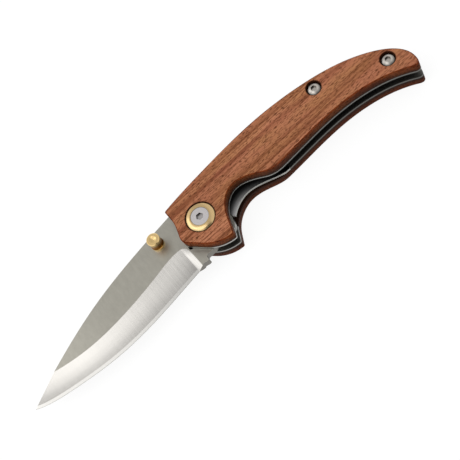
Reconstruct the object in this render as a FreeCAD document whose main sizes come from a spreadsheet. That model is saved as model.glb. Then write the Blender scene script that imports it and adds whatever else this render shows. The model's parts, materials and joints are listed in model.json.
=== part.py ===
import FreeCAD, Part
import math
import os
import Sketcher
from types import SimpleNamespace

# Folding pocket knife with a liner lock, open and locked, lying on its back scale.
# Millimetres. The origin is on the pivot axis in the plane of the back scale's outer face.
# +X runs to the butt, +Y to the back of the handle, +Z up out of the show side.

# Each driving size: its name, its value and what it measures.
SIZES = (
    ("nose_reach", 10.4, "pivot axis forward to the front of the handle"),
    ("brow_height", 11.2, "pivot axis up to the top front corner of the handle"),
    ("spine_height", 14.55, "pivot axis up to the highest part of the handle's back"),
    ("butt_reach", 92.5, "pivot axis back to the butt"),
    ("butt_depth", 13.4, "pivot axis down to the lowest part of the butt"),
    ("guard_reach", 4.8, "pivot axis back to the tip of the finger guard"),
    ("guard_depth", 13.6, "pivot axis down to the tip of the finger guard"),
    ("choil_reach", 33.0, "pivot axis back to the end of the finger choil"),
    ("belly_depth", 5.15, "pivot axis down to the belly where the choil ends"),
    ("front_choil_rise", 14.7, "guard tip up to the top of the deep front choil"),
    ("back_choil_rise", 11.6, "guard tip up to the top of the back choil"),
    ("corner_round", 0.7, "rounding of the handle's upright corners"),
    ("scale_thickness", 3.8, "wooden scale"),
    ("scale_edge_chamfer", 0.35, "chamfer round the scale's outer edge"),
    ("liner_thickness", 1.1, "steel liner"),
    ("blade_thickness", 3.0, "blade stock"),
    ("blade_reach", 87.6, "pivot axis forward to the point"),
    ("blade_spine_height", 11.5, "pivot axis up to the blade's back at the handle"),
    ("edge_depth", 12.4, "pivot axis down to the cutting edge near its heel"),
    ("edge_thickness", 0.1, "steel left at the cutting edge"),
    ("edge_bevel_width", 1.2, "width of the sharpened strip"),
    ("bevel_shoulder", 0.55, "steel left above the sharpened strip"),
    ("hollow_depth", 0.3, "how far the hollow grind bends inwards"),
    ("plunge_length", 2.4, "length over which the grind runs out at its heel"),
    ("plunge_rise", 0.03, "end of the run-out above the flat of the blade"),
    ("kick_depth", 12.0, "pivot axis down to the toe of the kick"),
    ("kick_corner_round", 0.7, "rounding of the notch behind the kick"),
    ("tang_radius", 11.8, "largest radius of the tang that passes the stop pin"),
    ("tang_height", 11.7, "pivot axis up to the top of the tang"),
    ("lock_face_reach", 8.4, "pivot axis back to the tang's lock face"),
    ("stop_pin_radius", 1.4, "stop pin between the liners"),
    ("stop_pin_end_radius", 1.0, "ends of the stop pin in the liners"),
    ("stop_clearance", 0.1, "gap between stop pin and tang"),
    ("detent_reach", 9.4, "pivot axis forward to the detent hole"),
    ("detent_drop", 3.7, "pivot axis down to the detent hole"),
    ("detent_hole_radius", 1.05, "detent hole through the tang"),
    ("ball_radius", 0.8, "detent ball"),
    ("ball_rise", 0.4, "detent ball above the lock bar"),
    ("lock_root_reach", 35.0, "pivot axis back to the root of the lock bar"),
    ("lock_slit_height", 4.0, "pivot axis up to the slit above the lock bar"),
    ("lock_slit_width", 0.5, "slit between lock bar and liner"),
    ("lock_relief_radius", 1.3, "round hole at the end of the slit"),
    ("lock_cut_reach", 7.6, "pivot axis back to the liner's edge in front of the lock bar"),
    ("lock_lift", 1.55, "how far the lock bar's end springs in behind the tang"),
    ("lock_root_gap", 0.1, "gap between the lock bar's root and its liner"),
    ("lock_face_gap", 0.2, "gap between the lock bar's end and the tang"),
    ("lock_bar_inset", 0.6, "lock bar's lower edge above the back scale's edge"),
    ("lock_bar_play", 0.05, "lock bar inside the faces of the liner"),
    ("lock_corner_drop", 5.0, "pivot axis down to the lock bar's cut corner"),
    ("lock_corner_width", 1.9, "length of the lock bar's cut corner"),
    ("washer_thickness", 0.17, "bronze washer"),
    ("washer_radius", 6.5, "bronze washer"),
    ("running_fit", 0.03, "gap in every turning fit"),
    ("seat_fit", 0.02, "gap round a fixed pin or screw"),
    ("barrel_radius", 2.5, "pivot barrel"),
    ("pivot_head_radius", 3.42, "heads of pivot screw and barrel"),
    ("pivot_head_thickness", 1.2, "heads of pivot screw and barrel"),
    ("pivot_shank_radius", 1.5, "shank of the pivot screw"),
    ("pivot_shank_length", 6.0, "shank of the pivot screw"),
    ("pivot_socket_width", 2.5, "hexagon socket across its flats"),
    ("pivot_socket_depth", 0.8, "hexagon socket of the pivot screw"),
    ("pivot_rise", 0.4, "top of the pivot screw above the front scale"),
    ("collar_radius", 5.36, "brass pivot collar"),
    ("collar_gap", 0.29, "gap between collar and scale"),
    ("collar_crown", 0.55, "front collar's inner rim above the scale"),
    ("collar_rim_drop", 0.15, "front collar's outer rim below the scale's face"),
    ("screw_setback", 0.1, "crown of the body screws inside the scale's face"),
    ("screw_head_radius", 2.47, "body screw"),
    ("screw_head_height", 1.5, "body screw, seat to crown"),
    ("screw_crown", 0.6, "rise of the button head above its rim"),
    ("screw_shank_radius", 1.2, "body screw"),
    ("screw_grip", 1.3, "body screw's length inside the spacer barrel"),
    ("screw_recess_gap", 0.45, "gap between screw head and its recess"),
    ("screw_socket_width", 2.0, "hexagon socket across its flats"),
    ("screw_socket_depth", 0.9, "hexagon socket of the body screw"),
    ("spacer_barrel_radius", 2.2, "threaded barrel between the liners"),
    ("stud_reach", 17.7, "pivot axis forward to the thumb stud"),
    ("stud_height", 5.9, "pivot axis up to the thumb stud"),
    ("stud_front_rise", 5.4, "thumb stud above the blade's front face"),
    ("stud_back_rise", 4.9, "thumb stud above the blade's back face"),
    ("stud_flange_radius", 2.5, "foot of the thumb stud"),
    ("stud_flange_thickness", 0.9, "foot of the thumb stud"),
    ("stud_waist_radius", 2.05, "waist of the thumb stud"),
    ("stud_head_radius", 2.45, "head of the thumb stud"),
    ("stud_head_thickness", 1.6, "head of the thumb stud"),
    ("stud_head_chamfer", 0.3, "chamfer round the stud's head"),
    ("stud_dish_radius", 1.3, "turned dish in the stud's head"),
    ("stud_dish_depth", 0.2, "turned dish in the stud's head"),
    ("stud_shank_radius", 1.1, "stud's shank through the blade"),
    ("stud_grip", 2.0, "stud's shank inside the back half"),
    ("overrun", 1.0, "how far cutting shapes pass the surface that they cut"),
)

# The blade turns this far to close, in degrees.
CLOSING_ANGLE = 167
CLOSED_COSINE = math.cos(math.radians(CLOSING_ANGLE))
CLOSED_SINE = math.sin(math.radians(CLOSING_ANGLE))
# Direction of the stop pin from the pivot axis.
PIN_ACROSS_SHARE = 0.64
PIN_UP_SHARE = 0.768
# Corner of a hexagon from its centre, as a share of its width across flats.
HEXAGON_CORNER_SHARE = 1 / math.sqrt(3)

# Poles of the handle's front curve: shares of nose reach and of brow height.
FRONT_SHARES = ((-0.8, 0.58), (-0.795, 0.45), (-0.93, 0.05), (-1.055, -0.21))
# The lip where the front curve meets the guard: shares of nose reach and of guard depth.
LIP_SHARES = (-0.92, -0.307)
# Poles under the guard: shares of nose reach and of guard depth.
GUARD_SHARES = ((-0.72, -0.455), (-0.39, -0.83))
GUARD_TOE_SHARES = (0.38, -0.995)
# Poles of the two finger choils: shares of the choil's length and of its rise.
FRONT_CHOIL_SHARES = ((0.05, 0.2), (0.083, 0.616), (0.361, 1.14), (0.727, 0.786), (0.838, 0.577))
BACK_CHOIL_SHARES = ((0.053, 0.237), (0.111, 0.647), (0.421, 1.088), (0.708, 0.927), (0.895, 0.722))
# Poles of the belly: shares of its length, and of belly depth or of butt depth.
BELLY_SHARES = ((0.163, -0.925), (0.489, -0.478))
BELLY_END_SHARES = ((0.814, -0.547), (0.938, -0.914))
# Poles of the butt's corner: shares of butt reach and of butt depth.
BUTT_CORNER_SHARES = (0.989, -1.047)
BUTT_SHARES = (0.9957, -0.821)
# Poles of the back, from the butt forwards: shares of butt reach and of spine height.
BACK_SHARES = ((1.011, -0.29), (0.87, 0.466), (0.641, 0.878), (0.395, 1.05), (0.153, 0.944), (-0.01, 0.856))
# Body screws: shares of butt reach and of spine height.
SCREW_SHARES = ((0.647, 0.545), (0.919, -0.234))
# Inner edge of the backspacer: shares of butt reach and of spine height.
SPACER_SHARES = ((0.487, 0.74), (0.56, 0.66), (0.61, 0.24), (0.72, 0.3), (0.80, 0.5), (0.87, 0.0),
                 (0.88, -0.49), (0.965, -0.46), (1.03, -0.5))

# Poles of the blade's back, shares of blade reach and of the height at the handle.
BLADE_BACK_SHARES = ((-0.098, 1.0), (-0.253, 0.855), (-0.566, 0.558), (-0.856, -0.37))
# Poles along the cutting edge: shares of blade reach, then edge and grind line in shares of edge depth.
EDGE_STATION_SHARES = (-0.118, -0.195, -0.334, -0.57, -0.771, -0.95, -1.0)
EDGE_SHARES = (-0.985, -1.05, -1.205, -1.348, -1.19, -0.975, -0.774)
GRIND_SHARES = (-0.142, -0.1, -0.343, -0.558, -0.512, -0.145, -0.016)
# Places along these curves where the grind's section is drawn, from the heel to just past the point.
GRIND_PLACE_SHARES = (0.032, 0.19, 0.33, 0.47, 0.61, 0.75, 0.89, 1.03)
# The grind half way out at its heel and at its end: how deep it still is, how far its line has dropped.
PLUNGE_SHARES = ((0.4, 0.06), (0.0, 0.15))
# The sharpened strip's flat is carried on past the edge, in shares of its width.
BEVEL_RUN_SHARE = 1.5
# How far the grind's curve starts above the flat of the blade.
GRIND_LEAD_SHARE = 0.1
# The notch between edge and kick: shares of the edge's start. The kick's front: shares of its toe.
NOTCH_SHARES = (0.94, 0.934)
KICK_LEAD_SHARES = (1.13, 1.075)
# Poles of the heel, the lock face and the shoulder of the tang: shares of tang radius.
HEEL_SHARES = ((0.36, 0.0), (0.55, 0.0), (0.635, -0.775))
LOCK_FACE_SHARES = (-0.42, 0.66)
SHOULDER_SHARE = 0.78
# Fall of the lock bar's cut corner, as a share of its length.
LOCK_CORNER_SHARE = 0.56
# Points that the domes pass: the collar's in from its outer rim and down from its crown,
# in shares of the ring's width and of the dome's rise, and the screw head's in shares of radius and rise.
COLLAR_DOME_SHARES = (0.42, 0.25)
SCREW_DOME_SHARES = (0.56, 0.33)
# Two points closer than this share of the overrun count as one.
SAME_PLACE_SHARE = 0.001


class Size:
    """A length, kept as its value and as the sheet formula that gives it."""

    def __init__(self, value, formula):
        self.value = value
        self.formula = formula

    def __add__(self, other):
        return Size(self.value + other.value, f"({self.formula} + {other.formula})")

    def __sub__(self, other):
        return Size(self.value - other.value, f"({self.formula} - {other.formula})")

    def __neg__(self):
        return Size(-self.value, f"(0 - {self.formula})")

    def __mul__(self, share):
        return Size(self.value * share, f"({self.formula} * ({share:.6f}))")

    def __truediv__(self, share):
        return self * (1 / share)


class Arc(tuple):
    """A round arc in a loop: its start, a point that it passes and its end."""


document = FreeCAD.newDocument("FoldingKnife")
sheet = document.addObject("Spreadsheet::Sheet", "Sizes")
size = SimpleNamespace()
for row, (name, value, meaning) in enumerate(SIZES, start=1):
    sheet.set(f"A{row}", meaning)
    sheet.set(f"B{row}", str(value))
    sheet.setAlias(f"B{row}", name)
    setattr(size, name, Size(value, f"Sizes.{name}"))
document.recompute()

ZERO = Size(0.0, "0")
PIVOT_AXIS = (ZERO, ZERO)

# The layers, from the back face up.
liner_back_floor = size.scale_thickness
liner_back_top = liner_back_floor + size.liner_thickness
blade_gap = size.blade_thickness + (size.washer_thickness + size.running_fit) * 2
liner_front_floor = liner_back_top + blade_gap
scale_front_floor = liner_front_floor + size.liner_thickness
show_face = scale_front_floor + size.scale_thickness
blade_middle = liner_back_top + blade_gap / 2
blade_half = size.blade_thickness / 2

# The stop pin, in the handle and as the closed blade meets it.
pin_reach = size.tang_radius + size.stop_clearance + size.stop_pin_radius
stop_pin = (pin_reach * PIN_ACROSS_SHARE, pin_reach * PIN_UP_SHARE)
closed_pin = (stop_pin[0] * CLOSED_COSINE + stop_pin[1] * CLOSED_SINE,
              stop_pin[1] * CLOSED_COSINE - stop_pin[0] * CLOSED_SINE)
pin_room = size.stop_pin_radius + size.stop_clearance

# The detent ball lies where the detent hole comes to when the blade is closed.
detent_hole = (-size.detent_reach, -size.detent_drop)
detent_ball_place = (detent_hole[0] * CLOSED_COSINE - detent_hole[1] * CLOSED_SINE,
                     detent_hole[0] * CLOSED_SINE + detent_hole[1] * CLOSED_COSINE)

body_screws = [(size.butt_reach * along, size.spine_height * up) for along, up in SCREW_SHARES]
thumb_stud = (-size.stud_reach, size.stud_height)


def origin_plane(body, role):
    return next(feature for feature in body.Origin.OriginFeatures if feature.Role == role)


def new_body(label):
    body = document.addObject("PartDesign::Body", label)
    body.Label = label
    return body


def place(body, x, y, z, flipped=False):
    """Put a body at its place, turned over about X if it faces the back."""
    if flipped:
        half_turn = FreeCAD.Rotation(FreeCAD.Vector(1, 0, 0), 180)
        body.Placement = FreeCAD.Placement(FreeCAD.Vector(), half_turn)
    body.setExpression("Placement.Base.x", x.formula)
    body.setExpression("Placement.Base.y", y.formula)
    body.setExpression("Placement.Base.z", z.formula)


def new_sketch(body, label, plane="XY_Plane", level=ZERO):
    """A sketch on one of the body's planes, moved off that plane by level."""
    sketch = body.newObject("Sketcher::SketchObject", label)
    sketch.AttachmentSupport = [(origin_plane(body, plane), "")]
    sketch.MapMode = "FlatFace"
    sketch.setExpression("AttachmentOffset.Base.z", level.formula)
    return sketch


def pin_point(sketch, geometry, vertex, point):
    """Fix one point of a sketch at a place that the sheet gives."""
    for kind, distance in zip(("DistanceX", "DistanceY"), point):
        number = sketch.addConstraint(Sketcher.Constraint(kind, -1, 1, geometry, vertex, distance.value))
        sketch.setExpression(f"Constraints[{number}]", distance.formula)


def draw_loop(sketch, segments):
    """Draw a closed loop. Two points make a line, an Arc an arc, and more the poles of a smooth curve."""
    drawn = []
    for points in segments:
        vectors = [FreeCAD.Vector(x.value, y.value, 0) for x, y in points]
        if len(points) == 2:
            shape = Part.LineSegment(*vectors)
        elif isinstance(points, Arc):
            shape = Part.Arc(*vectors)
        else:
            degree = min(3, len(points) - 1)
            shape = Part.BSplineCurve(vectors, None, None, False, degree, None, False)
        curve = sketch.addGeometry(shape, False)
        # A sketch counts an arc's ends anticlockwise, so the ends are told apart by where they lie.
        start, end = sorted((1, 2), key=lambda vertex: sketch.getPoint(curve, vertex).distanceToPoint(vectors[0]))
        drawn.append((curve, start, end))
        if isinstance(shape, Part.BSplineCurve):
            first_pole = sketch.GeometryCount
            sketch.exposeInternalGeometry(curve)
            for number, point in enumerate(points[:-1]):
                pin_point(sketch, first_pole + number, 3, point)
        else:
            pin_point(sketch, curve, start, points[0])
        if isinstance(points, Arc):
            passed = sketch.addGeometry(Part.Point(vectors[1]), True)
            pin_point(sketch, passed, 1, points[1])
            sketch.addConstraint(Sketcher.Constraint("PointOnObject", passed, 1, curve))
    for (curve, _, end), (following, start, _) in zip(drawn, drawn[1:] + drawn[:1]):
        sketch.addConstraint(Sketcher.Constraint("Coincident", curve, end, following, start))


def polygon(points):
    """The sides of a straight-edged loop."""
    return [list(side) for side in zip(points, points[1:] + points[:1])]


def draw_circles(sketch, centres, radius):
    for centre in centres:
        middle = FreeCAD.Vector(centre[0].value, centre[1].value, 0)
        circle = sketch.addGeometry(Part.Circle(middle, FreeCAD.Vector(0, 0, 1), radius.value), False)
        pin_point(sketch, circle, 3, centre)
        number = sketch.addConstraint(Sketcher.Constraint("Radius", circle, radius.value))
        sketch.setExpression(f"Constraints[{number}]", radius.formula)


def pad(body, sketch, thickness, symmetric=False, downwards=False):
    feature = body.newObject("PartDesign::Pad", "Pad")
    feature.Profile = sketch
    feature.SideType = "Symmetric" if symmetric else "One side"
    feature.Reversed = downwards
    feature.setExpression("Length", thickness.formula)
    document.recompute()
    return feature


def cut(body, sketch, depth=None, upwards=False):
    """Cut a sketch into a body, through all of it where no depth is given."""
    before = body.Shape.Volume
    feature = body.newObject("PartDesign::Pocket", "Pocket")
    feature.Profile = sketch
    if depth is None:
        feature.Type = "ThroughAll"
        feature.SideType = "Symmetric"
    else:
        feature.Reversed = upwards
        feature.setExpression("Length", depth.formula)
    document.recompute()
    if not body.Shape.Volume < before:
        raise RuntimeError(f"{sketch.Label} cuts nothing from {body.Label}")
    return feature


def drill(body, label, centres, radius):
    sketch = new_sketch(body, label)
    draw_circles(sketch, centres, radius)
    cut(body, sketch)


def round_edges(body, edge_names, radius):
    base = body.Tip
    feature = body.newObject("PartDesign::Fillet", "Round")
    feature.Base = (base, edge_names)
    feature.setExpression("Radius", radius.formula)
    document.recompute()


def chamfer_edges(body, face_name, width):
    base = body.Tip
    feature = body.newObject("PartDesign::Chamfer", "Chamfer")
    feature.Base = (base, [face_name])
    feature.setExpression("Size", width.formula)
    document.recompute()


def upright_edges(body, points):
    """Names of the body's upright edges over the given points."""
    near = size.overrun.value * SAME_PLACE_SHARE
    names = []
    for number, edge in enumerate(body.Shape.Edges, start=1):
        ends = [vertex.Point for vertex in edge.Vertexes]
        for x, y in points:
            if all(math.hypot(end.x - x.value, end.y - y.value) < near for end in ends):
                names.append(f"Edge{number}")
    return names


def level_face(body, level):
    """Name of the body's largest flat face at a height."""
    near = size.overrun.value * SAME_PLACE_SHARE
    flat = [(face.Area, number) for number, face in enumerate(body.Shape.Faces, start=1)
            if face.BoundBox.ZLength < near and abs(face.CenterOfMass.z - level.value) < near]
    return f"Face{max(flat)[1]}"


def turned(label, segments):
    """A piece turned on a lathe, from its half section in radius and height."""
    body = new_body(label)
    sketch = new_sketch(body, label + "_section", "XZ_Plane")
    draw_loop(sketch, segments)
    feature = body.newObject("PartDesign::Revolution", "Turning")
    feature.Profile = sketch
    feature.ReferenceAxis = (sketch, ["V_Axis"])
    document.recompute()
    return body


def hexagon_socket(body, level, width, depth):
    sketch = new_sketch(body, body.Label + "_socket", level=level)
    corner = width * HEXAGON_CORNER_SHARE
    corners = []
    for number in range(6):
        angle = math.radians(60 * number)
        corners.append((corner * math.cos(angle), corner * math.sin(angle)))
    draw_loop(sketch, polygon(corners))
    cut(body, sketch, depth)


brow = (size.nose_reach * FRONT_SHARES[0][0], size.brow_height)
guard_tip = (size.guard_reach, -size.guard_depth)
belly_start = (size.choil_reach, -size.belly_depth)


def handle_outline(choil_shares, choil_rise, choil_inset=ZERO):
    """Outline of the handle's plates, from the brow down the front and round by the butt."""
    front = [(size.nose_reach * along, size.brow_height * up) for along, up in FRONT_SHARES]
    lip = (size.nose_reach * LIP_SHARES[0], size.guard_depth * LIP_SHARES[1])
    guard = [(size.nose_reach * along, size.guard_depth * down) for along, down in GUARD_SHARES]
    toe = (size.guard_reach * GUARD_TOE_SHARES[0], size.guard_depth * GUARD_TOE_SHARES[1])
    choil_length = size.choil_reach - size.guard_reach
    choil = [(size.guard_reach + choil_length * along, choil_rise * up - size.guard_depth + choil_inset)
             for along, up in choil_shares]
    belly_length = size.butt_reach - size.choil_reach
    belly = [(size.choil_reach + belly_length * along, size.belly_depth * down)
             for along, down in BELLY_SHARES]
    belly += [(size.choil_reach + belly_length * along, size.butt_depth * down)
              for along, down in BELLY_END_SHARES]
    corner = (size.butt_reach * BUTT_CORNER_SHARES[0], size.butt_depth * BUTT_CORNER_SHARES[1])
    butt = (size.butt_reach * BUTT_SHARES[0], size.butt_depth * BUTT_SHARES[1])
    back = [(size.butt_reach * along, size.spine_height * up) for along, up in BACK_SHARES]
    return [
        [brow, front[0]],
        front + [lip],
        [lip] + guard + [toe, guard_tip],
        [guard_tip] + choil + [belly_start],
        [belly_start] + belly,
        [belly[-1], corner, butt],
        [butt] + back + [brow],
    ]


front_outline = handle_outline(FRONT_CHOIL_SHARES, size.front_choil_rise)
back_outline = handle_outline(BACK_CHOIL_SHARES, size.back_choil_rise)
bar_outline = handle_outline(BACK_CHOIL_SHARES, size.back_choil_rise, size.lock_bar_inset)


def plate(label, outline, thickness, downwards=False):
    """A flat piece with one of the handle's outlines."""
    body = new_body(label)
    sketch = new_sketch(body, label + "_outline")
    draw_loop(sketch, outline)
    pad(body, sketch, thickness, downwards=downwards)
    return body


def keep_inside(body, window):
    """Cut away all of a plate but what lies inside a window."""
    sketch = new_sketch(body, body.Label + "_window")
    far = size.butt_reach + size.nose_reach
    draw_loop(sketch, polygon([(-far, -far), (far, -far), (far, far), (-far, far)]))
    draw_loop(sketch, window)
    cut(body, sketch)


screw_recess_radius = size.screw_head_radius + size.screw_recess_gap
screw_seat_depth = size.screw_head_height + size.screw_setback
collar_hole_radius = size.collar_radius + size.collar_gap
screw_hole_radius = size.screw_shank_radius + size.seat_fit


def wooden_scale(label, outline, downwards):
    """A scale with its chamfered outer edge, collar hole and screw recesses."""
    body = plate(label, outline, size.scale_thickness, downwards)
    outer = -size.scale_thickness if downwards else size.scale_thickness
    round_edges(body, upright_edges(body, [brow, guard_tip]), size.corner_round)
    chamfer_edges(body, level_face(body, outer), size.scale_edge_chamfer)
    drill(body, label + "_collar_hole", [PIVOT_AXIS], collar_hole_radius)
    drill(body, label + "_screw_holes", body_screws, screw_hole_radius)
    recesses = new_sketch(body, label + "_recesses", level=outer)
    draw_circles(recesses, body_screws, screw_recess_radius)
    cut(body, recesses, screw_seat_depth, upwards=downwards)
    return body


def steel_liner(label, outline):
    """A liner with its holes for the pivot barrel, the stop pin and the body screws."""
    body = plate(label, outline, size.liner_thickness)
    round_edges(body, upright_edges(body, [brow, guard_tip]), size.corner_round)
    drill(body, label + "_pivot_hole", [PIVOT_AXIS], size.barrel_radius + size.seat_fit)
    drill(body, label + "_pin_hole", [stop_pin], size.stop_pin_end_radius + size.seat_fit)
    drill(body, label + "_screw_holes", body_screws, screw_hole_radius)
    return body


scale_front = wooden_scale("scale_front", front_outline, downwards=False)
place(scale_front, ZERO, ZERO, scale_front_floor)
scale_back = wooden_scale("scale_back", back_outline, downwards=True)
place(scale_back, ZERO, ZERO, size.scale_thickness)
liner_front = steel_liner("liner_front", front_outline)
place(liner_front, ZERO, ZERO, liner_front_floor)

# The back liner is cut away for the lock bar, with a round hole where the slit ends.
liner_back = steel_liner("liner_back", back_outline)
place(liner_back, ZERO, ZERO, liner_back_floor)
slit_top = size.lock_slit_height + size.lock_slit_width
below_guard = -size.guard_depth - size.overrun
lock_cut = new_sketch(liner_back, "lock_cut")
draw_loop(lock_cut, polygon([(size.lock_cut_reach, slit_top), (size.lock_cut_reach, below_guard),
                             (size.lock_root_reach, below_guard), (size.lock_root_reach, slit_top)]))
cut(liner_back, lock_cut)
drill(liner_back, "slit_relief", [(size.lock_root_reach, slit_top)], size.lock_relief_radius)

# The lock bar is a leaf of the back liner, bent in at its root so that its end stands behind the tang.
lock_end = size.lock_face_reach + size.lock_face_gap
bar_thickness = size.liner_thickness - size.lock_bar_play * 2
bar_length = size.lock_root_reach - lock_end
bar_slope = f"({size.lock_lift.formula} / {bar_length.formula})"
lock_bar = plate("lock_bar", bar_outline, bar_thickness)
bar_root = size.lock_root_reach - size.lock_root_gap
corner_end = lock_end + size.lock_corner_width
corner_fall = -size.lock_corner_drop - size.lock_corner_width * LOCK_CORNER_SHARE
keep_inside(lock_bar, polygon([(lock_end, size.lock_slit_height), (lock_end, -size.lock_corner_drop),
                               (corner_end, corner_fall), (corner_end, below_guard),
                               (bar_root, below_guard), (bar_root, size.lock_slit_height)]))
drill(lock_bar, "ball_hole", [detent_ball_place], size.ball_radius + size.seat_fit)

detent_ball = new_body("detent_ball")
ball = detent_ball.newObject("PartDesign::AdditiveSphere", "Ball")
ball.setExpression("Radius", size.ball_radius.formula)
ball.AttachmentSupport = [(origin_plane(detent_ball, "XY_Plane"), "")]
ball.MapMode = "FlatFace"
ball_level = bar_thickness + size.ball_rise - size.ball_radius
ball.setExpression("AttachmentOffset.Base.x", detent_ball_place[0].formula)
ball.setExpression("AttachmentOffset.Base.y", detent_ball_place[1].formula)
ball.setExpression("AttachmentOffset.Base.z", ball_level.formula)

bar_floor = liner_back_floor + size.lock_bar_play
root_reach = size.lock_root_reach.formula
for sprung in (lock_bar, detent_ball):
    quarter_turn = FreeCAD.Rotation(FreeCAD.Vector(0, 1, 0), 90)
    sprung.Placement = FreeCAD.Placement(FreeCAD.Vector(), quarter_turn)
    sprung.setExpression("Placement.Rotation.Angle", f"asin({bar_slope})")
    sprung.setExpression("Placement.Base.x", f"{root_reach} * (1 - sqrt(1 - {bar_slope}^2))")
    sprung.setExpression("Placement.Base.z", f"{bar_floor.formula} + {root_reach} * {bar_slope}")

# The backspacer fills the back of the handle between the liners.
backspacer = plate("backspacer", back_outline, blade_gap)
inner_edge = [(size.butt_reach * along, size.spine_height * up) for along, up in SPACER_SHARES]
above_back = size.spine_height + size.overrun
behind_butt = inner_edge[-1][0]
keep_inside(backspacer, [
    inner_edge,
    [inner_edge[-1], (behind_butt, above_back)],
    [(behind_butt, above_back), (inner_edge[0][0], above_back)],
    [(inner_edge[0][0], above_back), inner_edge[0]],
])
drill(backspacer, "barrel_holes", body_screws, size.spacer_barrel_radius + size.seat_fit)
place(backspacer, ZERO, ZERO, liner_back_top)


def curve_share(across_shares, up_shares, place_share):
    """Where a smooth curve over a table of shares passes, part of the way along it."""
    poles = [FreeCAD.Vector(across, up, 0) for across, up in zip(across_shares, up_shares)]
    return Part.BSplineCurve(poles, None, None, False, 3, None, False).value(place_share)


# The blade, drawn about its middle plane.
blade = new_body("blade")
place(blade, ZERO, ZERO, blade_middle)
back_poles = [(size.blade_reach * along, size.blade_spine_height * up) for along, up in BLADE_BACK_SHARES]
edge_poles = [(size.blade_reach * along, size.edge_depth * down)
              for along, down in zip(EDGE_STATION_SHARES, EDGE_SHARES)]
kick_back = closed_pin[0] - pin_room
tang_floor = closed_pin[1] + pin_room
kick_toe = (kick_back, -size.kick_depth)
kick_notch = (kick_back, tang_floor)
kick = [(edge_poles[0][0] * NOTCH_SHARES[0], edge_poles[0][1] * NOTCH_SHARES[1]),
        (kick_toe[0] * KICK_LEAD_SHARES[0], kick_toe[1] * KICK_LEAD_SHARES[1])]
heel = [(size.tang_radius * HEEL_SHARES[0][0], tang_floor),
        (size.tang_radius * HEEL_SHARES[1][0], tang_floor),
        (size.tang_radius * HEEL_SHARES[2][0], size.tang_radius * HEEL_SHARES[2][1])]
lock_face_foot = (size.lock_face_reach, size.tang_radius * LOCK_FACE_SHARES[0])
lock_face_top = (size.lock_face_reach, size.tang_radius * LOCK_FACE_SHARES[1])
shoulder_reach = stop_pin[0] - pin_room
shoulder_foot = (shoulder_reach, size.tang_radius * SHOULDER_SHARE)
shoulder_top = (shoulder_reach, size.tang_height)
blade_outline = new_sketch(blade, "blade_outline")
draw_loop(blade_outline, [
    [shoulder_top, back_poles[0]],
    back_poles + edge_poles[-1:],
    edge_poles[::-1],
    [edge_poles[0]] + kick + [kick_toe],
    [kick_toe, kick_notch],
    [kick_notch, heel[0]],
    heel + [lock_face_foot],
    [lock_face_foot, lock_face_top],
    [lock_face_top, shoulder_foot],
    [shoulder_foot, shoulder_top],
])
pad(blade, blade_outline, size.blade_thickness, symmetric=True)
round_edges(blade, upright_edges(blade, [kick_notch]), size.kick_corner_round)
drill(blade, "blade_pivot_hole", [PIVOT_AXIS], size.barrel_radius + size.running_fit)
drill(blade, "detent_hole", [detent_hole], size.detent_hole_radius)
drill(blade, "stud_hole", [thumb_stud], size.stud_shank_radius + size.seat_fit)


def grind_section(label, side, along, edge, grind, depth_share=1.0, rise=ZERO):
    """Section of what the grinding wheel takes off one side, at one place along the blade."""
    sketch = new_sketch(blade, label, "YZ_Plane", along)

    def depth_at(left):
        return (blade_half + rise - (blade_half - left) * depth_share) * side

    shoulder = edge + size.edge_bevel_width
    straight = (blade_half + size.bevel_shoulder / 2) / 2
    hollow = ((grind + shoulder) / 2, depth_at(straight - size.hollow_depth))
    flat = (grind, depth_at(blade_half))
    lead = (flat[0] + (flat[0] - hollow[0]) * GRIND_LEAD_SHARE,
            flat[1] + (flat[1] - hollow[1]) * GRIND_LEAD_SHARE)
    strip = (shoulder, depth_at(size.bevel_shoulder / 2))
    bevel_fall = (size.bevel_shoulder - size.edge_thickness) / 2
    beyond = (shoulder - size.edge_bevel_width * BEVEL_RUN_SHARE,
              depth_at(size.bevel_shoulder / 2 - bevel_fall * BEVEL_RUN_SHARE))
    outside = (blade_half + size.overrun) * side
    draw_loop(sketch, [
        [lead, hollow, strip],
        [strip, beyond],
        [beyond, (beyond[0], outside)],
        [(beyond[0], outside), (lead[0], outside)],
        [(lead[0], outside), lead],
    ])
    return sketch


def grind_place(place_share):
    """Place along the blade, edge and grind line there."""
    edge = curve_share(EDGE_STATION_SHARES, EDGE_SHARES, place_share)
    grind = curve_share(EDGE_STATION_SHARES, GRIND_SHARES, place_share)
    return size.blade_reach * edge.x, size.edge_depth * edge.y, size.edge_depth * grind.y


def grind_away(sections):
    before = blade.Shape.Volume
    feature = blade.newObject("PartDesign::SubtractiveLoft", "Grind")
    feature.Profile = sections[0]
    feature.Sections = sections[1:]
    document.recompute()
    if not blade.Shape.Volume < before:
        raise RuntimeError("the grind cuts nothing")


for side, side_name in ((1, "front"), (-1, "back")):
    sections = []
    for number, place_share in enumerate(GRIND_PLACE_SHARES):
        along, edge, grind = grind_place(place_share)
        sections.append(grind_section(f"{side_name}_grind_{number}", side, along, edge, grind))
    document.recompute()
    grind_away(sections)
    along, edge, grind = grind_place(GRIND_PLACE_SHARES[0])
    (half_depth, half_drop), (end_depth, end_drop) = PLUNGE_SHARES
    half_way = along + size.plunge_length / 2
    half_line = grind - size.edge_depth * half_drop
    end_line = grind - size.edge_depth * end_drop
    plunge = [
        grind_section(f"{side_name}_plunge_start", side, along, edge, grind),
        grind_section(f"{side_name}_plunge_half", side, half_way, edge, half_line, half_depth),
        grind_section(f"{side_name}_plunge_end", side, along + size.plunge_length, edge, end_line,
                      end_depth, size.plunge_rise),
    ]
    document.recompute()
    grind_away(plunge)


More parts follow.
